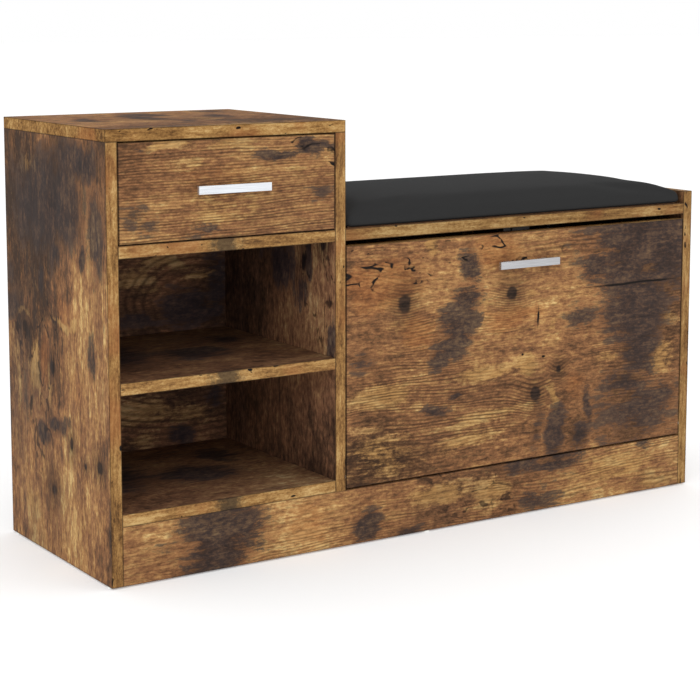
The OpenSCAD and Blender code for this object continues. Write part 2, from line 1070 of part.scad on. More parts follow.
module rack_side(x0) {
    outline = [
        [rack_y, rack_foot],
        [rack_depth_y, rack_foot],
        [rack_depth_y, rack_shoulder],
        [rack_y + 100, rack_head],
        [rack_y, rack_head + 12]
    ];
    difference() {
        translate([x0, 0, 0])
            rotate([90, 0, 90])
                linear_extrude(thin_t)
                    polygon(outline);
        stop_slot(x0 - 1, x0 + thin_t + 1);
        for (s = rack_cams)
            placed(s)
                cam_bore(thin_t);
        for (s = rack_dowel_spots)
            placed(s)
                dowel(small_dowel_r);
        rack_screw_shapes();
    }
}

module rack_side_left() {
    color(rack_oak)
        rack_side(rack_l);
}

module rack_side_right() {
    color(rack_oak)
        rack_side(rack_r - thin_t);
}

module rack_board(y0, y1, z0, z1) {
    color(rack_oak)
        difference() {
            box([rack_l + thin_t, y0, z0], [rack_r - thin_t, y1, z1]);
            rack_screw_shapes();
        }
}

module rack_floor() {
    rack_board(rack_y, rack_floor_y, rack_foot, rack_foot + thin_t);
}

module rack_middle_shelf() {
    rack_board(rack_y, rack_mid_y, rack_mid_z, rack_mid_z + thin_t);
}

module rack_lower_back() {
    z = rack_foot + thin_t;
    rack_board(rack_floor_y - thin_t, rack_floor_y, z, z + rack_low_h);
}

module rack_upper_back() {
    z = rack_mid_z + thin_t;
    rack_board(rack_mid_y - thin_t, rack_mid_y, z, z + rack_up_h);
}

module rack_screw_shapes() {
    for (p = rack_screw_spots) {
        translate([rack_l, p[0], p[1]])
            rotate([0, 90, 0])
                sunk_screw(rack_screw_len, rack_screw_r, rack_screw_head_r);
        translate([rack_r, p[0], p[1]])
            rotate([0, -90, 0])
                sunk_screw(rack_screw_len, rack_screw_r, rack_screw_head_r);
    }
}

module rack_dowels() {
    color(beech)
        for (s = rack_dowel_spots)
            placed(s)
                dowel(small_dowel_r);
}

module rack_cam_bolts() {
    color(steel)
        for (s = rack_cams)
            placed(s)
                cam_bolt();
}

module rack_cam_locks() {
    color(steel)
        for (s = rack_cams)
            placed(s)
                cam_lock(thin_t);
}

module strike_screw_shapes() {
    for (dx = [-strike_screw_dx, strike_screw_dx])
        translate([bench_mid + dx, rack_y + strike_t, strike_z + strike_h / 2])
            rotate([90, 0, 0])
                sunk_screw(strike_screw_len, screw_r, screw_head_r - 0.4);
}

module flap_screws() {
    color(steel) {
        rack_screw_shapes();
        strike_screw_shapes();
    }
}

module strike_plate() {
    color(steel)
        difference() {
            box(
                [bench_mid - strike_w / 2, rack_y, strike_z],
                [bench_mid + strike_w / 2, rack_y + strike_t, strike_z + strike_h]
            );
            strike_screw_shapes();
        }
}

left_side_panel();
divider_panel();
right_side_panel();
tower_top();
drawer_shelf();
middle_shelf();
tower_floor();
bench_floor();
seat_board();
plinth();
rear_rail();
tower_back();
bench_back();
seat_cushion();
cushion_base();
floor_glides();
case_dowels();
case_cam_bolts();
case_cam_locks();
case_runner_left();
case_runner_right();
front_roller_rivets();
case_screws();
pivot_bushes();
stop_pegs();
magnetic_catch();
drawer_front();
drawer_side_left();
drawer_side_right();
drawer_back();
drawer_bottom();
drawer_handle();
drawer_handle_screws();
drawer_dowels();
drawer_cam_bolts();
drawer_cam_locks();
drawer_screws();
drawer_runner_left();
drawer_runner_right();
rear_roller_rivets();
front_roller_left();
front_roller_right();
rear_roller_left();
rear_roller_right();
flap_front();
rack_side_left();
rack_side_right();
rack_floor();
rack_middle_shelf();
rack_lower_back();
rack_upper_back();
flap_handle();
flap_handle_screws();
flap_pivot_pins();
rack_dowels();
rack_cam_bolts();
rack_cam_locks();
flap_screws();
strike_plate();
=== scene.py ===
"""Entryway bench: materials, cushion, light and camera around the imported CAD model.

Metres, +Z up, front towards -Y, standing on the floor at z = 0.
"""

import math

import bmesh
import bpy
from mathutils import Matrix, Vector


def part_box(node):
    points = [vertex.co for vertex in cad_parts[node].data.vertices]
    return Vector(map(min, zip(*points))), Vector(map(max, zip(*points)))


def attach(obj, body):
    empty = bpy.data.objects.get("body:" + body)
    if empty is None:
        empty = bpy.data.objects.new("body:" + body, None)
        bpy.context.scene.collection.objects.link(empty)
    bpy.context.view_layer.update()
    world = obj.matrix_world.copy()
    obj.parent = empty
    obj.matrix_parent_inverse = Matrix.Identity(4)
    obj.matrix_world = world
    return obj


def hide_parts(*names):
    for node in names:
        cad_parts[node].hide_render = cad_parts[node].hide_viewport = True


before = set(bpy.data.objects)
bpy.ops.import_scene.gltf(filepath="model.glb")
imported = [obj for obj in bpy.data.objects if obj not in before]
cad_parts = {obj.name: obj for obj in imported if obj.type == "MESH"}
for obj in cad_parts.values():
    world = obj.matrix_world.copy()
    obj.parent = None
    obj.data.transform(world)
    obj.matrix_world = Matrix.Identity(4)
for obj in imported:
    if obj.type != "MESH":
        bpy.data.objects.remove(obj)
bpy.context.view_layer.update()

MM = 0.001
AXIS = {"x": 0, "y": 1, "z": 2}


# ---------------------------------------------------------------- shader graph

class Shader:
    """A material under construction. Each method adds a node and returns its output socket."""

    def __init__(self, name):
        self.mat = bpy.data.materials.new(name)
        self.mat.use_nodes = True
        self.nodes = self.mat.node_tree.nodes
        self.links = self.mat.node_tree.links
        self.bsdf = self.nodes["Principled BSDF"]
        self.place = self.nodes.new("ShaderNodeTexCoord").outputs["Object"]

    def put(self, socket, value):
        """Links an output socket to an input, or writes a constant into it."""
        if isinstance(value, bpy.types.NodeSocket):
            self.links.new(value, socket)
        else:
            socket.default_value = value

    def math(self, op, a, b=0.0):
        n = self.nodes.new("ShaderNodeMath")
        n.operation = op
        self.put(n.inputs[0], a)
        self.put(n.inputs[1], b)
        return n.outputs[0]

    def vector(self, op, a, b=(0, 0, 0), c=(0, 0, 0)):
        n = self.nodes.new("ShaderNodeVectorMath")
        n.operation = op
        self.put(n.inputs[0], a)
        self.put(n.inputs[1], b)
        if op == "MULTIPLY_ADD":
            self.put(n.inputs[2], c)
        return n.outputs["Value" if op == "LENGTH" else "Vector"]

    def noise(self, point, scale, detail=3.0, rough=0.5, warp=0.0, colour=False):
        n = self.nodes.new("ShaderNodeTexNoise")
        self.put(n.inputs["Vector"], point)
        n.inputs["Scale"].default_value = scale
        n.inputs["Detail"].default_value = detail
        n.inputs["Roughness"].default_value = rough
        n.inputs["Distortion"].default_value = warp
        return n.outputs["Color" if colour else "Fac"]

    def swing(self, noise, amount):
        """A noise counted from its middle value, times an amount."""
        return self.math("MULTIPLY", self.math("SUBTRACT", noise, 0.5), amount)

    def wave(self, value, period):
        """A sine from 0 to 1 of a length in metres."""
        s = self.math("SINE", self.math("MULTIPLY", value, 2 * math.pi / period))
        return self.math("ADD", self.math("MULTIPLY", s, 0.5), 0.5)

    def span(self, value, lo, hi, out_lo=0.0, out_hi=1.0, smooth=True):
        """Maps lo..hi onto out_lo..out_hi and holds it there outside."""
        n = self.nodes.new("ShaderNodeMapRange")
        n.interpolation_type = "SMOOTHSTEP" if smooth else "LINEAR"
        self.put(n.inputs["Value"], value)
        n.inputs["From Min"].default_value = lo
        n.inputs["From Max"].default_value = hi
        n.inputs["To Min"].default_value = out_lo
        n.inputs["To Max"].default_value = out_hi
        return n.outputs["Result"]

    def ramp(self, value, stops):
        """Colour by value; stops lists (position, colour)."""
        n = self.nodes.new("ShaderNodeValToRGB")
        self.put(n.inputs["Fac"], value)
        ramp = n.color_ramp
        while len(ramp.elements) < len(stops):
            ramp.elements.new(0.5)
        for e, (at, colour) in zip(ramp.elements, stops):
            e.position = at
            e.color = (*colour, 1)
        return n.outputs["Color"]

    def mix(self, fac, a, b, blend="MIX"):
        n = self.nodes.new("ShaderNodeMix")
        n.data_type = "RGBA"
        n.blend_type = blend
        self.put(n.inputs[0], fac)
        self.put(n.inputs[6], a if not isinstance(a, tuple) else (*a, 1))
        self.put(n.inputs[7], b if not isinstance(b, tuple) else (*b, 1))
        return n.outputs[2]

    def tint(self, colour, factors):
        return self.mix(1.0, colour, factors, "MULTIPLY")

    def part(self, point, axis):
        """One coordinate of a point."""
        n = self.nodes.new("ShaderNodeSeparateXYZ")
        self.put(n.inputs[0], point)
        return n.outputs[AXIS[axis]]

    def set(self, **values):
        """Sets sockets of the Principled shader, with _ for the spaces in their names."""
        for key, value in values.items():
            self.put(self.bsdf.inputs[key.replace("_", " ")], value)

    def bump(self, height, strength, distance):
        n = self.nodes.new("ShaderNodeBump")
        n.inputs["Strength"].default_value = strength
        n.inputs["Distance"].default_value = distance
        self.put(n.inputs["Height"], height)
        self.put(self.bsdf.inputs["Normal"], n.outputs["Normal"])


def srgb(r, g, b):
    """Linear colour of an 8-bit display colour."""
    return tuple(
        (c / 255 / 12.92) if c <= 10 else ((c / 255 + 0.055) / 1.055) ** 2.4 for c in (r, g, b)
    )


# ---------------------------------------------------------------- smoked oak print

UMBER = srgb(58, 41, 29)
BROWN = srgb(98, 69, 46)
ORANGE = srgb(139, 96, 63)
TAN = srgb(178, 134, 84)
GOLD = srgb(214, 180, 120)
SOOT = srgb(58, 44, 36)
CHAR = srgb(26, 21, 19)
GROWTH_LINE = srgb(56, 38, 26)
DARK_PORE = srgb(60, 40, 28)
PALE_FIBRE = srgb(190, 150, 98)

GROUND_TONES = [(0.10, UMBER), (0.33, BROWN), (0.55, ORANGE), (0.80, TAN), (1.0, GOLD)]
WARM_TONES = [(0.1, srgb(92, 56, 34)), (0.5, srgb(140, 88, 50)), (0.9, srgb(176, 122, 72))]
PALE_TONES = [(0.34, srgb(128, 92, 56)), (0.50, srgb(176, 134, 80)), (0.66, GOLD)]
SMOKE_TONES = [(0.38, srgb(34, 28, 27)), (0.50, srgb(56, 46, 43)), (0.64, srgb(92, 73, 60))]
BAND_TONES = [
    (0.24, srgb(82, 57, 34)), (0.40, srgb(127, 92, 53)), (0.54, srgb(158, 120, 71)),
    (0.74, srgb(194, 160, 106)),
]
BAND_RED, BAND_RED_PALE = srgb(96, 58, 36), srgb(176, 112, 66)
BAND_KNOT_PALE = srgb(92, 76, 56)

LINE_PERIOD = 4.3 * MM  # between growth lines
EDGE_SKIN = 0.45 * MM   # a point this close to an edge face wears the edge band
BACK_SKIN = 0.5 * MM    # the same for the bare rear face of a back sheet
PRINT_GLOSS = 0.07      # specular level: higher turns the dark stains grey under a white sky


def blobs(s, point, spots, box, axes, wide=1.5, tight=0.3):
    """A field of soft ellipses. A spot is (u, v, radius u, radius v, strength), in parts of
    the panel's own size along its two axes, counted from its low corner."""
    lo, hi = box
    size = [hi[i] - lo[i] for i in range(3)]
    i, j = (AXIS[a] for a in axes)
    total = 0.0
    for u, v, ru, rv, strength in spots:
        scale, shift = [0.0] * 3, [0.0] * 3
        for k, at, r in ((i, u, ru), (j, v, rv)):
            scale[k] = 1 / (r * size[k])
            shift[k] = -(lo[k] + at * size[k]) * scale[k]
        away = s.vector("LENGTH", s.vector("MULTIPLY_ADD", point, tuple(scale), tuple(shift)))
        field = s.span(away, wide, tight, 0.0, strength, smooth=False)
        total = field if isinstance(total, float) else s.math("MAXIMUM", total, field)
    return total


def stretched(s, point, along, by):
    """The point with its scale along one axis changed, which draws a texture out that way."""
    scale = [1.0] * 3
    scale[AXIS[along]] = by
    return s.vector("MULTIPLY", point, tuple(scale))


def ragged_mask(s, field, grit, amount, lo=0.30, hi=0.72):
    """Breaks the outline of a soft field up with a gritty noise."""
    if isinstance(field, float):
        return 0.0
    push = s.math("MULTIPLY", s.swing(grit, amount), s.span(field, 0.0, 0.15))
    return s.span(s.math("ADD", field, push), lo, hi)


def ring_distance(s, rings, box, axes):
    """Distance from a pith at (u, v), squeezed along the first axis, for arched grain."""
    u, v, squeeze = rings
    lo, hi = box
    i, j = (AXIS[a] for a in axes)
    scale, shift = [0.0] * 3, [0.0] * 3
    scale[i], scale[j] = squeeze, 1.0
    shift[i] = -(lo[i] + u * (hi[i] - lo[i])) * squeeze
    shift[j] = -(lo[j] + v * (hi[j] - lo[j]))
    return s.vector("LENGTH", s.vector("MULTIPLY_ADD", s.place, tuple(scale), tuple(shift)))


def board_rim(s, box):
    """1 along the sharp edges of a board's box, where the foil ends in a thin dark line."""
    total = 0.0
    for k, axis in enumerate("xyz"):
        middle, half = (box[0][k] + box[1][k]) / 2, (box[1][k] - box[0][k]) / 2
        off = s.math("ABSOLUTE", s.math("SUBTRACT", s.part(s.place, axis), middle))
        near = s.span(s.math("SUBTRACT", half, off), 1.2 * MM, 0.4 * MM)
        total = near if k == 0 else s.math("ADD", total, near)
    return s.span(total, 1.1, 1.9)


def growth_lines(s, look, point, cloud, strand, along, across, halo, box, axes):
    """Thin dark lines along the grain, and their plain wave: they wander slowly, bend round
    each knot (halo), and where the look has rings they arch about a pith."""
    wander = s.swing(s.noise(stretched(s, point, along, 0.3), 8, 3, 0.5), look.get("wander", 0.07))
    if look.get("rings"):
        across_at = ring_distance(s, look["rings"], box, axes)
    else:
        across_at = s.part(s.place, across)
    across_at = s.math("ADD", across_at, wander)
    if look.get("knot"):
        across_at = s.math("ADD", across_at, s.math("MULTIPLY", halo, 12 * MM))
    period = look.get("period", LINE_PERIOD)
    thin = s.math("POWER", s.wave(across_at, period), 1.6)
    broad = s.wave(across_at, period * 4.7)
    shown = s.span(s.noise(cloud, 8, 3, 0.55), 0.42, 0.60, look.get("plain", 0.15), 1.0)
    lines = s.math("MULTIPLY", thin, s.math("MULTIPLY", shown, s.span(broad, 0.0, 0.8, 0.55, 1.0)))
    return s.math("MULTIPLY", lines, s.span(strand, 0.28, 0.5, 0.35, 1.0)), thin


def oak(name, node, along, across, seed, look=None, edges=(), painted_light_gain=1.0):
    """Smoked oak print. along and across are the grain's axes on the panel's main face.
    look holds the panel's own marks; edges lists (axis, side) of the faces with a gold band."""
    look = look or {}
    box = [Vector(c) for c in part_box(node)]
    axes = look.get("axes", (along, across))
    s = Shader(name)
    point = s.vector("ADD", s.place, (seed * 1.7, seed * 0.9, seed * 2.3))
    grain = stretched(s, point, along, 0.16)
    cloud = stretched(s, point, along, 0.6)

    # Gritty textures: one drawn out along the grain, one blotchy
    strand = s.noise(grain, 110, 6, 0.68, 0.3)
    fibre = s.noise(grain, 430, 3, 0.7)
    grit = s.noise(cloud, 26, 8, 0.78, 0.35)
    speck = s.noise(stretched(s, point, along, 0.5), 210, 3, 0.7)
    rough = s.math("ADD", s.math("MULTIPLY", strand, 0.40), s.math("MULTIPLY", grit, 0.42))
    rough = s.math("ADD", rough, s.math("MULTIPLY", speck, 0.18))

    # Marks are looked up on a warped copy of the surface, so their outlines wander
    push = s.vector("SUBTRACT", s.noise(cloud, 15, 4, 0.6, colour=True), (0.5, 0.5, 0.5))
    warped = s.vector("MULTIPLY_ADD", push, (0.06, 0.06, 0.06), s.place)
    nudged = s.vector("MULTIPLY_ADD", push, (0.012, 0.012, 0.012), s.place)

    def field(kind, at, **reach):
        return blobs(s, at, look[kind], box, axes, **reach) if look.get(kind) else 0.0

    stain = ragged_mask(s, field("stain", warped, wide=1.8, tight=0.2), rough, 4.2, 0.20, 0.50)
    light = ragged_mask(s, field("light", warped), rough, 3.4, 0.22, 0.66)
    warm = ragged_mask(s, field("warm", warped), grit, 1.6)
    knot = ragged_mask(s, field("knot", nudged), rough, 1.5, 0.45, 0.75)
    slit = ragged_mask(s, field("slit", nudged), strand, 0.8)

    halo = 0.0
    if look.get("knot"):
        wide = [(u, v, ru * 3.2, rv * 3.2, 1.0) for u, v, ru, rv, _ in look["knot"]]
        halo = s.span(blobs(s, nudged, wide, box, axes, 1.6, 0.0), 0.0, 1.0)
    lines, thin = growth_lines(s, look, point, cloud, strand, along, across, halo, box, axes)

    # Ground tone: big clouds, blotches, streaks
    reach = look.get("clouds", 0.35)
    tone = s.noise(stretched(s, point, along, look.get("cloud_stretch", 0.6)), 3.6, 5, 0.6, 0.3)
    tone = s.span(tone, 0.30, 0.70, 0.45 - reach, 0.45 + reach, smooth=False)
    tone = s.math("ADD", tone, s.swing(grit, look.get("grit", 1.1)))
    tone = s.math("ADD", tone, s.swing(strand, look.get("streaks", 0.85)))
    tone = s.math("ADD", tone, s.swing(speck, 0.95))
    tone = s.math("ADD", tone, look.get("lift", 0.0))
    colour = s.ramp(tone, GROUND_TONES)
    colour = s.mix(s.math("MULTIPLY", warm, 0.7), colour, s.ramp(tone, WARM_TONES))
    colour = s.mix(s.math("MULTIPLY", light, 0.85), colour, s.ramp(rough, PALE_TONES))
    colour = s.mix(s.math("MULTIPLY", lines, look.get("lines", 0.75)), colour, GROWTH_LINE)
    colour = s.mix(s.span(fibre, 0.56, 0.30, 0.0, 0.55), colour, DARK_PORE)
    colour = s.mix(s.span(fibre, 0.58, 0.76, 0.0, 0.30), colour, PALE_FIBRE)

    # Smoke: placed stains, and natural ones everywhere
    drift = s.math("ADD", s.noise(cloud, 5.5, 4, 0.6), s.math("MULTIPLY", rough, 0.35))
    drift = s.math("MULTIPLY", s.span(drift, 0.72, 0.86), look.get("drift", 0.5))
    thinned = s.span(speck, 0.35, 0.65, 0.98, 0.84)
    smoke = s.math("MULTIPLY", s.math("MAXIMUM", stain, drift), thinned)
    colour = s.mix(smoke, colour, s.ramp(rough, SMOKE_TONES))
    if look.get("knot"):
        banded = s.math("ADD", 0.5, s.math("MULTIPLY", thin, 0.45))
        colour = s.mix(s.math("MULTIPLY", s.math("POWER", halo, 2.0), banded), colour, UMBER)
        core = s.mix(s.span(fibre, 0.35, 0.7), CHAR, SOOT)
        colour = s.mix(s.math("MULTIPLY", knot, 0.92), colour, core)
    if look.get("slit"):
        colour = s.mix(slit, colour, CHAR)

    # Fine squiggling cracks, where the print has them
    path = s.noise(stretched(s, point, along, 0.45), 34, 2, 0.5, 0.6)
    hair = s.span(s.math("ABSOLUTE", s.math("SUBTRACT", path, 0.5)), 0.034, 0.010)
    broken = s.span(s.noise(point, 55, 2, 0.5), 0.46, 0.52)
    if look.get("ticks"):
        where = s.span(field("ticks", warped), 0.15, 0.4)
    else:
        where = s.span(s.noise(cloud, 5, 2), 0.60, 0.66, 0.0, 0.7)
    crack = s.math("MULTIPLY", s.math("MULTIPLY", hair, broken), where)
    colour = s.mix(crack, colour, CHAR)

    # Painted light and shade: the whole board is darkened (below 1) or lightened (above 1) for where it
    # sits in the cubbies
    if painted_light_gain != 1.0:
        colour = s.tint(colour, (0.96 * painted_light_gain, painted_light_gain, 1.25 * painted_light_gain))
    if edges:
        band = edge_band(s, along, seed, look.get("edge_knot"), box)
        mask = 0.0
        for axis, side in edges:
            at = s.part(s.place, axis)
            face = box[0][AXIS[axis]] if side < 0 else box[1][AXIS[axis]]
            away = s.math("ABSOLUTE", s.math("SUBTRACT", at, face))
            near = s.math("LESS_THAN", away, EDGE_SKIN)
            mask = near if isinstance(mask, float) else s.math("MAXIMUM", mask, near)
        # Painted shade: the gold edge band of some boards is darkened all over
        shade = look.get("edge_band_shade", 1.0)
        if shade != 1.0:
            band = s.tint(band, (shade, shade, shade))
        colour = s.mix(mask, colour, band)
    colour = s.mix(s.math("MULTIPLY", board_rim(s, box), 0.6), colour, CHAR)
    if look.get("bare"):
        behind = s.math("GREATER_THAN", s.part(s.place, "y"), box[1].y - BACK_SKIN)
        colour = s.mix(behind, colour, pressed_fibre(s))
    s.set(Base_Color=colour, Roughness=s.span(strand, 0.3, 0.7, 0.52, 0.72))
    s.set(Specular_IOR_Level=look.get("gloss", PRINT_GLOSS))
    relief = s.math("SUBTRACT", s.math("MULTIPLY", fibre, 0.6), s.math("MULTIPLY", lines, 0.5))
    s.bump(relief, 0.3, 0.2 * MM)
    return s.mat


def edge_band(s, along, seed, knot, box):
    """The gold-brown strip glued to a board's edge, with fine dark flecks and streaks.
    knot is (place along the board, radius in metres) of a dark smudge across it."""
    point = s.vector("ADD", s.place, (seed * 3.1, seed * 1.3, seed * 0.7))
    streak = s.noise(stretched(s, point, along, 0.13), 190, 5, 0.7, 0.3)
    patch = s.noise(stretched(s, point, along, 0.5), 16, 6, 0.72)
    fleck = s.noise(stretched(s, s.place, along, 0.5), 420, 3, 0.75)
    tone = s.math("ADD", s.math("ADD", patch, s.swing(streak, 0.9)), s.swing(fleck, 0.6))
    colour = s.ramp(tone, BAND_TONES)
    reddish = s.span(s.noise(point, 7, 3, 0.6), 0.52, 0.64, 0.0, 0.55)
    colour = s.mix(reddish, colour, s.mix(streak, BAND_RED, BAND_RED_PALE))
    dash = s.noise(stretched(s, point, along, 0.5), 130, 1, 0.5)
    colour = s.mix(s.span(dash, 0.745, 0.77), colour, CHAR)
    if knot:
        u, r = knot
        lo, hi = box
        i = AXIS[along]
        at = lo[i] + u * (hi[i] - lo[i])
        rough = s.swing(s.noise(point, 90, 5, 0.75), 0.06)
        away = s.math("ADD", s.math("SUBTRACT", s.part(s.place, along), at), rough)
        shown = s.span(s.math("ABSOLUTE", away), r * 1.4, r * 0.4, 0.0, 0.85)
        colour = s.mix(shown, colour, s.mix(fleck, CHAR, BAND_KNOT_PALE))
    return colour


# Each look lists its marks as blobs() spots, along the grain and across it unless "axes" says
# otherwise: "stain", "light" and "warm" patches, "knot"s, "slit" cracks, and "ticks", the regions
# that carry fine squiggling cracks. "rings" is the pith of arched grain (see ring_distance),
# "edge_knot" a smudge on the edge band, and "bare" leaves the rear face raw. The edge band
# factor darkens a board's gold edge band all over, as painted shade. The other numbers weigh
# the print's ingredients; oak() and growth_lines() hold their defaults.
FLAP = {
    "stain": [
        (0.91, 0.93, 0.18, 0.17, 0.95), (0.82, 0.84, 0.08, 0.17, 0.85), (0.86, 0.63, 0.085, 0.17, 0.92),
        (0.94, 0.80, 0.09, 0.10, 0.8), (0.87, 0.17, 0.14, 0.09, 0.55),
        (0.86, 0.45, 0.055, 0.14, 0.85), (0.82, 0.28, 0.07, 0.06, 0.7), (0.93, 0.20, 0.035, 0.06, 0.6),
        (0.86, 0.09, 0.10, 0.08, 0.5), (0.725, 0.81, 0.035, 0.06, 0.75), (0.69, 0.61, 0.055, 0.06, 0.55),
        (0.347, 0.86, 0.022, 0.08, 0.75), (0.335, 0.74, 0.035, 0.07, 0.8), (0.310, 0.63, 0.04, 0.07, 0.9),
        (0.300, 0.54, 0.045, 0.05, 0.8), (0.255, 0.50, 0.03, 0.04, 0.7), (0.595, 0.10, 0.022, 0.11, 0.8),
        (0.670, 0.08, 0.03, 0.05, 0.8), (0.692, 0.20, 0.014, 0.10, 0.6), (0.245, 0.29, 0.035, 0.025, 0.75),
        (0.300, 0.345, 0.016, 0.014, 0.7), (0.040, 0.53, 0.03, 0.04, 0.45), (0.54, 0.13, 0.015, 0.08, 0.4),
    ],
    "light": [
        (0.10, 0.37, 0.09, 0.06, 0.8), (0.39, 0.42, 0.09, 0.045, 0.8), (0.50, 0.43, 0.03, 0.05, 0.9),
        (0.235, 0.98, 0.03, 0.05, 0.8), (0.585, 0.26, 0.012, 0.09, 0.75), (0.40, 0.20, 0.15, 0.04, 0.5),
        (0.93, 0.36, 0.05, 0.08, 0.65), (0.97, 0.55, 0.03, 0.05, 0.45), (0.75, 0.42, 0.06, 0.05, 0.5),
        (0.59, 0.57, 0.02, 0.05, 0.6), (0.38, 0.71, 0.03, 0.03, 0.5), (0.53, 0.72, 0.03, 0.03, 0.5),
        (0.10, 0.13, 0.14, 0.12, 0.55), (0.33, 0.12, 0.12, 0.06, 0.5), (0.50, 0.56, 0.06, 0.03, 0.5),
    ],
    "warm": [
        (0.10, 0.85, 0.14, 0.12, 0.9), (0.42, 0.93, 0.07, 0.10, 0.8), (0.47, 0.63, 0.10, 0.08, 0.8),
        (0.65, 0.30, 0.05, 0.10, 0.6), (0.20, 0.62, 0.06, 0.10, 0.6),
    ],
    "knot": [
        (0.157, 0.74, 0.022, 0.055, 0.95), (0.463, 0.74, 0.020, 0.038, 1.0),
        (0.537, 0.285, 0.019, 0.042, 1.0), (0.607, 0.385, 0.011, 0.028, 0.85),
    ],
    "slit": [
        (0.84, 0.728, 0.17, 0.007, 0.85), (0.543, 0.62, 0.004, 0.055, 0.8),
        (0.495, 0.465, 0.004, 0.006, 0.9), (0.56, 0.445, 0.006, 0.005, 0.9),
    ],
    "ticks": [
        (0.04, 0.90, 0.07, 0.07, 1.0), (0.18, 0.88, 0.07, 0.06, 1.0), (0.31, 0.95, 0.05, 0.05, 1.0),
        (0.50, 0.93, 0.10, 0.06, 1.0), (0.42, 0.98, 0.05, 0.04, 1.0),
    ],
    "lines": 0.8, "drift": 0.12, "clouds": 0.22, "lift": 0.05, "streaks": 1.0,
}
LEFT_SIDE = {
    "axes": ("y", "z"),
    "stain": [
        (0.56, 0.84, 0.31, 0.090, 0.95), (0.42, 0.88, 0.18, 0.05, 0.6), (0.24, 0.95, 0.14, 0.04, 0.85),
        (0.40, 0.93, 0.10, 0.05, 0.6),
        (0.10, 0.78, 0.06, 0.10, 0.6), (0.84, 0.88, 0.10, 0.07, 0.45), (0.63, 0.66, 0.035, 0.05, 0.7),
        (0.50, 0.72, 0.05, 0.04, 0.75), (0.22, 0.735, 0.035, 0.03, 0.8), (0.95, 0.58, 0.08, 0.025, 0.75),
        (0.95, 0.65, 0.05, 0.03, 0.5), (0.64, 0.29, 0.07, 0.025, 0.8), (0.50, 0.335, 0.08, 0.018, 0.8),
        (0.16, 0.50, 0.04, 0.05, 0.7), (0.80, 0.33, 0.06, 0.09, 0.35), (0.08, 0.62, 0.04, 0.05, 0.35),
    ],
    "light": [
        (0.73, 0.44, 0.05, 0.07, 0.75), (0.32, 0.575, 0.03, 0.018, 0.9), (0.42, 0.565, 0.12, 0.010, 0.7),
        (0.85, 0.57, 0.06, 0.010, 0.7), (0.38, 0.245, 0.035, 0.012, 0.8), (0.78, 0.12, 0.08, 0.06, 0.55),
        (0.55, 0.40, 0.03, 0.06, 0.5), (0.90, 0.42, 0.05, 0.10, 0.4), (0.75, 0.93, 0.12, 0.03, 0.5),
        (0.20, 0.85, 0.05, 0.06, 0.45), (0.30, 0.10, 0.10, 0.05, 0.35),
    ],
    "warm": [(0.62, 0.47, 0.08, 0.06, 0.8), (0.30, 0.42, 0.15, 0.10, 0.5), (0.5, 0.6, 0.4, 0.05, 0.5)],
    "knot": [
        (0.815, 0.53, 0.030, 0.020, 0.95), (0.535, 0.455, 0.028, 0.022, 0.95),
        (0.36, 0.29, 0.022, 0.020, 0.85), (0.09, 0.265, 0.035, 0.020, 0.9),
        (0.23, 0.25, 0.018, 0.010, 0.85), (0.545, 0.16, 0.045, 0.025, 0.75),
    ],
    "lines": 0.4, "drift": 0.5, "clouds": 0.5, "cloud_stretch": 0.3, "lift": 0.08, "streaks": 1.4,
}
RIGHT_SIDE = {
    "axes": ("y", "z"),
    "stain": [
        (0.38, 0.20, 0.22, 0.10, 0.9), (0.62, 0.28, 0.12, 0.07, 0.8), (0.80, 0.62, 0.10, 0.09, 0.85),
        (0.72, 0.74, 0.07, 0.06, 0.7), (0.20, 0.86, 0.10, 0.06, 0.75), (0.30, 0.50, 0.04, 0.05, 0.6),
        (0.90, 0.12, 0.06, 0.06, 0.6), (0.52, 0.93, 0.10, 0.03, 0.5),
    ],
    "light": [
        (0.50, 0.62, 0.05, 0.12, 0.8), (0.35, 0.74, 0.04, 0.05, 0.8), (0.15, 0.42, 0.06, 0.10, 0.6),
        (0.85, 0.38, 0.06, 0.08, 0.6), (0.60, 0.46, 0.12, 0.012, 0.7), (0.12, 0.12, 0.05, 0.06, 0.5),
    ],
    "warm": [(0.55, 0.80, 0.12, 0.08, 0.7), (0.25, 0.62, 0.12, 0.08, 0.6)],
    "knot": [
        (0.45, 0.40, 0.030, 0.022, 0.95), (0.68, 0.86, 0.025, 0.018, 0.9),
        (0.14, 0.28, 0.02, 0.015, 0.9),
    ],
    # Painted shade: the edge band factor darkens this panel's gold edge bands all over
    "lines": 0.4, "drift": 0.4, "clouds": 0.55, "cloud_stretch": 0.3, "lift": 0.05, "edge_band_shade": 0.85,
}
DRAWER = {
    "stain": [
        (0.85, 0.90, 0.05, 0.07, 0.9), (0.73, 0.82, 0.08, 0.045, 0.75), (0.92, 0.93, 0.08, 0.04, 0.55),
        (0.05, 0.28, 0.06, 0.12, 0.35), (0.15, 0.15, 0.05, 0.10, 0.3), (0.40, 0.05, 0.10, 0.05, 0.45),
        (0.08, 0.93, 0.05, 0.05, 0.4), (0.92, 0.40, 0.06, 0.10, 0.4),
    ],
    "light": [
        (0.22, 0.94, 0.13, 0.07, 0.75), (0.50, 0.95, 0.13, 0.06, 0.7), (0.35, 0.72, 0.10, 0.08, 0.4),
        (0.45, 0.25, 0.14, 0.18, 0.5), (0.62, 0.35, 0.08, 0.10, 0.5), (0.80, 0.65, 0.05, 0.05, 0.55),
    ],
    "warm": [(0.45, 0.65, 0.25, 0.15, 0.5)],
    "lines": 0.8, "drift": 0.10, "period": 3.4 * MM, "lift": 0.17, "plain": 0.6, "wander": 0.03,
    "grit": 0.55, "clouds": 0.28,
    "ticks": [(0.85, 0.93, 0.06, 0.06, 1.0), (0.97, 0.80, 0.03, 0.1, 1.0), (0.10, 0.84, 0.06, 0.03, 1.0)],
}
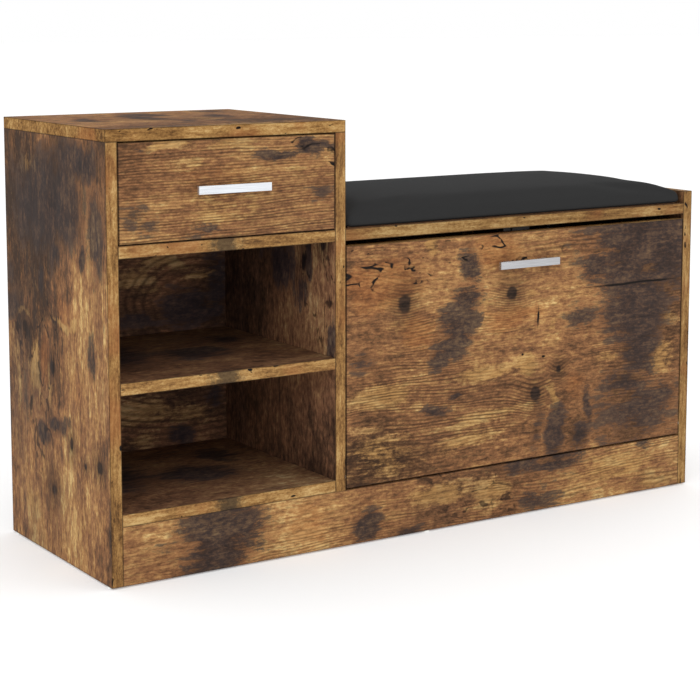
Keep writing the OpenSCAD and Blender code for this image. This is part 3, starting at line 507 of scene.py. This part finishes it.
TOWER_TOP = {
    "stain": [
        (0.43, 0.60, 0.06, 0.15, 0.85), (0.50, 0.76, 0.06, 0.10, 0.75), (0.75, 0.58, 0.05, 0.09, 0.7),
        (0.15, 0.56, 0.05, 0.08, 0.6), (0.47, 0.33, 0.04, 0.06, 0.5), (0.86, 0.85, 0.08, 0.08, 0.4),
    ],
    "light": [(0.60, 0.40, 0.05, 0.12, 0.5), (0.30, 0.70, 0.08, 0.10, 0.4), (0.50, 0.04, 0.5, 0.06, 0.5)],
    "lines": 0.5, "drift": 0.35, "lift": 0.05, "gloss": 0.015,
}
PLINTH = {
    "stain": [
        (0.145, 0.45, 0.052, 0.9, 0.95), (0.19, 0.75, 0.03, 0.5, 0.7), (0.39, 0.30, 0.02, 0.3, 0.85),
        (0.465, 0.04, 0.02, 0.12, 0.8), (0.68, 0.98, 0.03, 0.16, 0.8), (0.74, 0.85, 0.04, 0.25, 0.75),
        (0.70, 0.20, 0.04, 0.2, 0.5), (0.93, 0.98, 0.02, 0.12, 0.6), (0.07, 0.40, 0.02, 0.2, 0.4),
    ],
    "light": [
        (0.52, 0.60, 0.06, 0.3, 0.75), (0.62, 0.50, 0.05, 0.3, 0.7), (0.86, 0.55, 0.12, 0.4, 0.6),
        (0.95, 0.20, 0.05, 0.2, 0.7),
    ],
    "warm": [(0.28, 0.5, 0.06, 0.6, 0.6)],
    "lines": 0.6, "drift": 0.2, "lift": 0.25, "plain": 0.4,
}
DIVIDER = {
    "axes": ("y", "z"),
    "stain": [
        (0.45, 0.66, 0.09, 0.05, 0.9), (0.58, 0.72, 0.06, 0.04, 0.7), (0.22, 0.69, 0.03, 0.05, 0.8),
        (0.30, 0.60, 0.06, 0.04, 0.5), (0.05, 0.49, 0.03, 0.04, 0.7),
    ],
    "knot": [(0.10, 0.73, 0.025, 0.02, 0.9), (0.26, 0.68, 0.025, 0.03, 0.9)],
    "light": [(0.15, 0.71, 0.06, 0.05, 0.4)],
    "lines": 0.3, "drift": 0.35,
}
BACK = {
    "stain": [
        (0.81, 0.456, 0.13, 0.05, 0.85), (0.94, 0.50, 0.05, 0.12, 0.7), (0.55, 0.42, 0.12, 0.03, 0.6),
        (0.76, 0.07, 0.05, 0.022, 0.9), (0.94, 0.17, 0.04, 0.04, 0.6), (0.2, 0.75, 0.1, 0.05, 0.5),
    ],
    "light": [
        (0.52, 0.545, 0.12, 0.020, 0.9), (0.68, 0.575, 0.14, 0.014, 0.9), (0.88, 0.558, 0.10, 0.014, 0.8),
        (0.60, 0.515, 0.08, 0.010, 0.6), (0.60, 0.145, 0.20, 0.040, 0.8), (0.82, 0.12, 0.14, 0.030, 0.7),
        (0.56, 0.07, 0.10, 0.030, 0.6),
    ],
    "bare": True, "rings": (0.81, 0.456, 0.62), "period": 8.5 * MM, "lines": 0.9, "drift": 0.2,
    "plain": 0.8, "wander": 0.04,
}
SHELF = {
    "stain": [(0.20, 0.60, 0.16, 0.22, 0.8), (0.55, 0.45, 0.16, 0.12, 0.8), (0.80, 0.70, 0.08, 0.10, 0.7)],
    "edge_knot": (0.48, 0.020), "lines": 0.5, "drift": 0.4,
}


def oak_materials():
    """One print per board, so that no two boards carry the same marks."""
    front, top, ends = [("y", -1)], [("z", 1)], [("x", -1), ("x", 1)]
    # Painted light and shade in these plans: the brightness factor darkens the shelves inside the cubbies
    # and lightens the divider and the tower's back, and the seat board's edge band factor darkens its gold
    # edge band
    plans = {
        "left_side_panel": dict(along="z", across="y", look=LEFT_SIDE, edges=front),
        "divider_panel": dict(along="z", across="y", look=DIVIDER, edges=front, painted_light_gain=1.1),
        "right_side_panel": dict(along="z", across="y", look=RIGHT_SIDE, edges=front + top),
        "tower_top": dict(along="x", across="y", look=TOWER_TOP, edges=front + ends),
        "drawer_shelf": dict(along="x", across="y", look=SHELF, edges=front, painted_light_gain=0.75),
        "middle_shelf": dict(along="x", across="y", look=SHELF, edges=front, painted_light_gain=0.68),
        "tower_floor": dict(along="x", across="y", look=SHELF, edges=front, painted_light_gain=0.75),
        "bench_floor": dict(along="x", across="y"),
        "seat_board": dict(along="x", across="y", look={"edge_band_shade": 0.75}, edges=front),
        "plinth": dict(along="x", across="z", look=PLINTH),
        "rear_rail": dict(along="x", across="z"),
        "tower_back": dict(along="x", across="z", look=BACK, painted_light_gain=1.35),
        "bench_back": dict(along="x", across="z", look={"bare": True}),
        "drawer_front": dict(along="x", across="z", look=DRAWER, edges=top),
        "flap_front": dict(along="x", across="z", look=FLAP, edges=top),
    }
    for seed, (node, plan) in enumerate(plans.items()):
        paint(node, oak("oak_" + node, node, seed=seed + 1.0, **plan))


def inner_boards():
    """Plainer boards of the drawer box and the shoe rack."""
    plans = {
        "drawer_side_left": ("y", "z"), "drawer_side_right": ("y", "z"), "drawer_back": ("x", "z"),
        "rack_side_left": ("z", "y"), "rack_side_right": ("z", "y"), "rack_floor": ("x", "y"),
        "rack_middle_shelf": ("x", "y"), "rack_lower_back": ("x", "z"), "rack_upper_back": ("x", "z"),
    }
    quiet = {"drift": 0.2, "lines": 0.4}
    for seed, (node, (along, across)) in enumerate(plans.items()):
        paint(node, oak("inner_" + node, node, along, across, seed + 20.0, quiet))


# ---------------------------------------------------------------- other materials

def pressed_fibre(s):
    """Colour of raw hardboard: matted short fibres in a warm brown."""
    matted = s.noise(s.place, 160, 6, 0.75, 1.5)
    patch = s.noise(s.place, 9, 3)
    colour = s.ramp(matted, [(0.3, srgb(84, 57, 37)), (0.5, srgb(114, 80, 53)), (0.7, srgb(142, 106, 72))])
    return s.mix(s.span(patch, 0.35, 0.65, 0.0, 0.35), colour, srgb(80, 56, 39))


def hardboard():
    s = Shader("hardboard")
    matted = s.noise(s.place, 160, 6, 0.75, 1.5)
    s.set(Base_Color=pressed_fibre(s), Roughness=s.span(matted, 0.3, 0.7, 0.7, 0.9))
    s.bump(matted, 0.4, 0.3 * MM)
    return s.mat


def beech():
    """Turned dowels: pale wood with short dark flecks."""
    s = Shader("beech")
    fleck = s.noise(s.vector("MULTIPLY", s.place, (0.3, 1, 1)), 900, 3, 0.6)
    colour = s.ramp(fleck, [(0.35, srgb(196, 156, 108)), (0.6, srgb(222, 188, 142))])
    s.set(Base_Color=colour, Roughness=0.6)
    s.bump(fleck, 0.3, 0.1 * MM)
    return s.mat


def satin_metal(name="satin_metal", dark=(208, 211, 216), bright=(232, 235, 239)):
    """Handles: fine brushing along the bar over a pale satin plating."""
    s = Shader(name)
    brush = s.noise(s.vector("MULTIPLY", s.place, (0.02, 1, 1)), 1800, 3, 0.6)
    cloud = s.noise(s.place, 30, 2)
    colour = s.mix(s.span(brush, 0.3, 0.7), srgb(*dark), srgb(*bright))
    s.set(Base_Color=colour, Metallic=0.75, Roughness=s.span(cloud, 0.3, 0.7, 0.26, 0.36))
    s.bump(brush, 0.15, 0.05 * MM)
    return s.mat


def shaded_satin_metal():
    """The flap's handle, which the photo shows greyer than the drawer's: the same satin metal, painted
    darker grey as painted shade.
    """
    return satin_metal("shaded_satin_metal", (162, 162, 164), (184, 184, 186))


def zinc():
    """Plated steel of bolts, cams, screws and pins."""
    s = Shader("zinc")
    spangle = s.noise(s.place, 700, 4, 0.7)
    colour = s.mix(spangle, srgb(150, 153, 158), srgb(204, 207, 212))
    s.set(Base_Color=colour, Metallic=1.0, Roughness=s.span(spangle, 0.3, 0.7, 0.3, 0.5))
    s.bump(spangle, 0.2, 0.05 * MM)
    return s.mat


def runner_enamel():
    """White stove enamel on the pressed runners, dulled where rollers run."""
    s = Shader("runner_enamel")
    orange_peel = s.noise(s.place, 380, 2, 0.5)
    wear = s.span(s.noise(s.vector("MULTIPLY", s.place, (1, 0.1, 1)), 120, 4, 0.6), 0.55, 0.75, 0.0, 0.4)
    colour = s.mix(wear, srgb(228, 228, 224), srgb(176, 177, 176))
    s.set(Base_Color=colour, Roughness=s.span(orange_peel, 0.3, 0.7, 0.28, 0.42))
    s.bump(orange_peel, 0.25, 0.08 * MM)
    return s.mat


def moulded_plastic(name="moulded_plastic", clean=(236, 236, 230), worn=(200, 198, 190)):
    """White plastic of glides, bushes and rollers, with a fine spark texture."""
    s = Shader(name)
    spark = s.noise(s.place, 1500, 3, 0.6)
    scuff = s.span(s.noise(s.place, 90, 4, 0.7), 0.58, 0.75, 0.0, 0.3)
    colour = s.mix(scuff, srgb(*clean), srgb(*worn))
    s.set(Base_Color=colour, Roughness=s.span(spark, 0.3, 0.7, 0.42, 0.58))
    s.bump(spark, 0.3, 0.06 * MM)
    return s.mat


def brown_plastic():
    """The catch's dark housing, hardly seen in the gap above the flap."""
    return moulded_plastic("brown_plastic", (38, 27, 20), (62, 48, 38))


def charcoal_cloth():
    """Plain-weave upholstery cloth, 0.9 mm between threads."""
    s = Shader("charcoal_cloth")
    pitch = 0.9 * MM
    wobble = s.vector("SUBTRACT", s.noise(s.place, 260, 2, colour=True), (0.5, 0.5, 0.5))
    stray = 0.6 * MM
    at = s.vector("MULTIPLY_ADD", wobble, (stray, stray, stray), s.place)
    x, y, z = (s.part(at, a) for a in "xyz")
    u = s.math("ADD", x, z)
    v = s.math("ADD", y, z)
    warp = s.wave(u, 2 * pitch)
    weft = s.wave(v, 2 * pitch)
    over = s.wave(s.math("ADD", u, v), 2 * pitch)
    under = s.wave(s.math("SUBTRACT", u, v), 2 * pitch)
    weave = s.math("MULTIPLY", s.math("ADD", over, under), 0.5)
    rest = s.math("SUBTRACT", 1.0, weave)
    thread = s.math("MAXIMUM", s.math("MULTIPLY", warp, weave), s.math("MULTIPLY", weft, rest))
    lint = s.noise(s.place, 1100, 3, 0.7)
    fade = s.noise(s.place, 7, 3)
    colour = s.mix(thread, srgb(38, 38, 38), srgb(52, 52, 52))
    colour = s.mix(s.span(lint, 0.6, 0.8, 0.0, 0.25), colour, srgb(80, 80, 80))
    colour = s.mix(s.span(fade, 0.35, 0.65, 0.0, 0.2), colour, srgb(40, 40, 40))
    s.set(Base_Color=colour, Roughness=s.span(lint, 0.3, 0.7, 0.86, 0.96))
    s.set(Specular_IOR_Level=0.08)
    s.bump(thread, 0.5, 0.25 * MM)
    return s.mat


HANDLE_EDGE = 0.7 * MM


def soften(node, radius):
    """Rounds a metal part's sharp edges enough to catch the light. The CAD meshes come with
    every face loose, so they are welded first, or the bevel would find no edges."""
    modifiers = bpy.data.objects[node].modifiers
    weld = modifiers.new("weld", "WELD")
    weld.merge_threshold = 0.01 * MM
    edge = modifiers.new("soft_edge", "BEVEL")
    edge.width = radius
    edge.segments = 2
    edge.limit_method = "ANGLE"
    edge.angle_limit = math.radians(40)


def paint(node, material):
    """Gives a CAD piece one material."""
    data = bpy.data.objects[node].data
    data.materials.clear()
    data.materials.append(material)


def fitting_materials():
    """Everything that is neither printed board nor cloth, grouped by what it is made of."""
    groups = {
        brown_plastic: ["magnetic_catch"],
        hardboard: ["cushion_base", "drawer_bottom"],
        beech: ["case_dowels", "drawer_dowels", "rack_dowels"],
        satin_metal: ["drawer_handle"],
        # The flap's handle, the same part as the drawer's, gets a darker copy of the satin metal as
        # painted shade
        shaded_satin_metal: ["flap_handle"],
        zinc: [
            "case_cam_bolts", "case_cam_locks", "case_screws", "stop_pegs", "front_roller_rivets",
            "drawer_handle_screws", "drawer_cam_bolts", "drawer_cam_locks", "drawer_screws",
            "rear_roller_rivets", "flap_handle_screws", "flap_pivot_pins", "rack_cam_bolts",
            "rack_cam_locks", "flap_screws", "strike_plate",
        ],
        runner_enamel: [
            "case_runner_left", "case_runner_right", "drawer_runner_left", "drawer_runner_right",
        ],
        moulded_plastic: [
            "floor_glides", "pivot_bushes", "front_roller_left", "front_roller_right",
            "rear_roller_left", "rear_roller_right",
        ],
    }
    for node in ("drawer_handle", "flap_handle"):
        soften(node, HANDLE_EDGE)
    for make, nodes in groups.items():
        material = make()
        for node in nodes:
            paint(node, material)


# ---------------------------------------------------------------- cushion

SEAT_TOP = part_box("seat_board")[1][2]
PAD_LO, PAD_HI = (Vector(c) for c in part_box("seat_cushion"))
PAD_FOOT = SEAT_TOP + 0.3 * MM
PAD_SIDE = 21.5 * MM    # height of the pad's rim above the seat board
PAD_ROUND = 9 * MM      # radius of its rounded edges
PAD_CROWN = 8.5 * MM    # how far the middle stands above the rim
PAD_VOXEL = 5 * MM
PAD_SPARE = 0.2 * MM    # wider than the rigid cushion at each end before it is evened
PAD_REACH = 0.5 * MM    # furthest the finished pad may stand past the rigid cushion's sides
PAD_HELD = 8 * MM       # points lower than this above the foot are pinned
PAD_CAP = 6 * MM        # furthest the cloth solver may move a point
PAD_PRESSURE = 4
CLOTH_FRAMES = 20


def dome(co, middle, half):
    """How far the crown rises at a point of the top, from 0 at the rim to 1 in the middle."""
    a = 1 - min(abs((co.x - middle.x) / half.x), 1) ** 5
    b = 1 - min(abs((co.y - middle.y) / half.y), 1) ** 2.6
    return a * b


def slab(name, lo, hi, radius, cuts):
    """A closed slab with rounded upright corners and a rounded upper rim."""
    bm = bmesh.new()
    bmesh.ops.create_cube(bm, size=1.0)
    for v in bm.verts:
        v.co = Vector([lo[k] + (v.co[k] + 0.5) * (hi[k] - lo[k]) for k in range(3)])
    rim = [e for e in bm.edges if any(v.co.z > lo.z + 1e-6 for v in e.verts)]
    bmesh.ops.bevel(bm, geom=rim, offset=radius, segments=cuts, affect="EDGES", profile=0.5)
    mesh = bpy.data.meshes.new(name)
    bm.to_mesh(mesh)
    bm.free()
    return mesh


def apply_modifiers(obj):
    """Bakes an object's modifiers into its mesh."""
    graph = bpy.context.evaluated_depsgraph_get()
    done = bpy.data.meshes.new_from_object(obj.evaluated_get(graph))
    obj.modifiers.clear()
    obj.data = done


def inflate(obj, pinned, cap):
    """Blows the cover up with the cloth solver, then limits how far each point has moved."""
    rest = [v.co.copy() for v in obj.data.vertices]
    group = obj.vertex_groups.new(name="held")
    group.add([i for i, co in enumerate(rest) if pinned(co)], 1.0, "REPLACE")
    cloth = obj.modifiers.new("cloth", "CLOTH")
    setup = cloth.settings
    setup.quality = 6
    setup.mass = 0.4
    setup.tension_stiffness = 25
    setup.compression_stiffness = 25
    setup.shear_stiffness = 12
    setup.bending_stiffness = 2.5
    setup.use_pressure = True
    setup.uniform_pressure_force = PAD_PRESSURE
    setup.vertex_group_mass = group.name
    setup.effector_weights.gravity = 0
    cloth.collision_settings.use_collision = False
    cloth.point_cache.frame_start = 1
    cloth.point_cache.frame_end = CLOTH_FRAMES
    scene = bpy.context.scene
    for frame_number in range(1, CLOTH_FRAMES + 1):
        scene.frame_set(frame_number)
    apply_modifiers(obj)
    scene.frame_set(1)
    for v, start in zip(obj.data.vertices, rest):
        move = v.co - start
        if move.length > cap:
            v.co = start + move * (cap / move.length)


def cushion():
    """The seat pad: a slab, crowned, inflated by the cloth solver and evened."""
    lo = Vector((PAD_LO.x - PAD_SPARE, PAD_LO.y, PAD_FOOT))
    hi = Vector((PAD_HI.x + PAD_SPARE, PAD_HI.y, SEAT_TOP + PAD_SIDE))
    pad = bpy.data.objects.new("cushion_pad", slab("cushion_pad", lo, hi, PAD_ROUND, 5))
    bpy.context.scene.collection.objects.link(pad)
    remesh = pad.modifiers.new("remesh", "REMESH")
    remesh.mode = "VOXEL"
    remesh.voxel_size = PAD_VOXEL
    apply_modifiers(pad)
    middle = (PAD_LO + PAD_HI) / 2
    half = (PAD_HI - PAD_LO) / 2
    for v in pad.data.vertices:
        if v.co.z > PAD_FOOT + 0.5 * PAD_SIDE:
            v.co.z += PAD_CROWN * dome(v.co, middle, half)
    inflate(pad, lambda co: co.z < PAD_FOOT + PAD_HELD, PAD_CAP)
    even = pad.modifiers.new("even", "SMOOTH")
    even.factor = 0.5
    even.iterations = 12
    apply_modifiers(pad)
    for v in pad.data.vertices:
        v.co.x = min(max(v.co.x, PAD_LO.x - PAD_REACH), PAD_HI.x + PAD_REACH)
        v.co.y = min(max(v.co.y, PAD_LO.y - PAD_REACH), PAD_HI.y + PAD_REACH)
        v.co.z = max(v.co.z, PAD_FOOT)
    smooth = pad.modifiers.new("smooth", "SUBSURF")
    smooth.levels = 1
    smooth.render_levels = 1
    pad.data.polygons.foreach_set("use_smooth", [True] * len(pad.data.polygons))
    pad.data.materials.append(charcoal_cloth())
    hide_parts("seat_cushion")
    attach(pad, "cabinet")


# ---------------------------------------------------------------- room

def floor():
    """A wide pale ground that glows a little, so that it burns out to the photo's white."""
    mesh = bpy.data.meshes.new("floor")
    r = 30.0
    mesh.from_pydata([(-r, -r, 0), (r, -r, 0), (r, r, 0), (-r, r, 0)], [], [(0, 1, 2, 3)])
    obj = bpy.data.objects.new("floor", mesh)
    bpy.context.scene.collection.objects.link(obj)
    s = Shader("pale_floor")
    s.set(Base_Color=(0.85, 0.85, 0.85, 1), Roughness=0.9, Specular_IOR_Level=0.1)
    s.set(Emission_Color=(1, 1, 1, 1), Emission_Strength=0.22)
    mesh.materials.append(s.mat)


def softbox(name, at, size, power):
    """An area light turned towards the middle of the bench."""
    aim = Vector((0, 0, 0.3))
    data = bpy.data.lights.new(name, "AREA")
    data.shape = "RECTANGLE"
    data.size, data.size_y = size
    data.energy = power
    obj = bpy.data.objects.new(name, data)
    obj.location = at
    obj.rotation_euler = (aim - Vector(at)).to_track_quat("-Z", "Y").to_euler()
    bpy.context.scene.collection.objects.link(obj)


def lights():
    """A white sky for most of the light, and two soft boxes from the front."""
    world = bpy.data.worlds.new("studio")
    bpy.context.scene.world = world
    world.use_nodes = True
    sky = world.node_tree.nodes["Background"]
    sky.inputs["Color"].default_value = (1, 1, 1, 1)
    sky.inputs["Strength"].default_value = 1.0
    softbox("key", (-2.2, -2.6, 2.4), size=(2.0, 2.0), power=24)
    softbox("fill", (2.4, -2.4, 1.6), size=(2.0, 1.6), power=14)


def camera():
    """Close to the photo's viewpoint. The photo's camera was level, with a larger shift; this
    one dips a little, so that the other views keep the bench in the picture."""
    data = bpy.data.cameras.new("camera")
    data.lens = 95.64
    data.sensor_width = 36
    data.shift_y = -0.15
    data.clip_end = 200
    obj = bpy.data.objects.new("camera", data)
    obj.location = (-1.3893, -2.0990, 0.6914)
    turn, dip = 0.5748, 0.1278
    obj.rotation_euler = (math.pi / 2 - dip, 0, -turn)
    bpy.context.scene.collection.objects.link(obj)
    bpy.context.scene.camera = obj


camera()
floor()
lights()
bpy.context.scene.view_settings.view_transform = "Standard"
oak_materials()
inner_boards()
fitting_materials()
cushion()
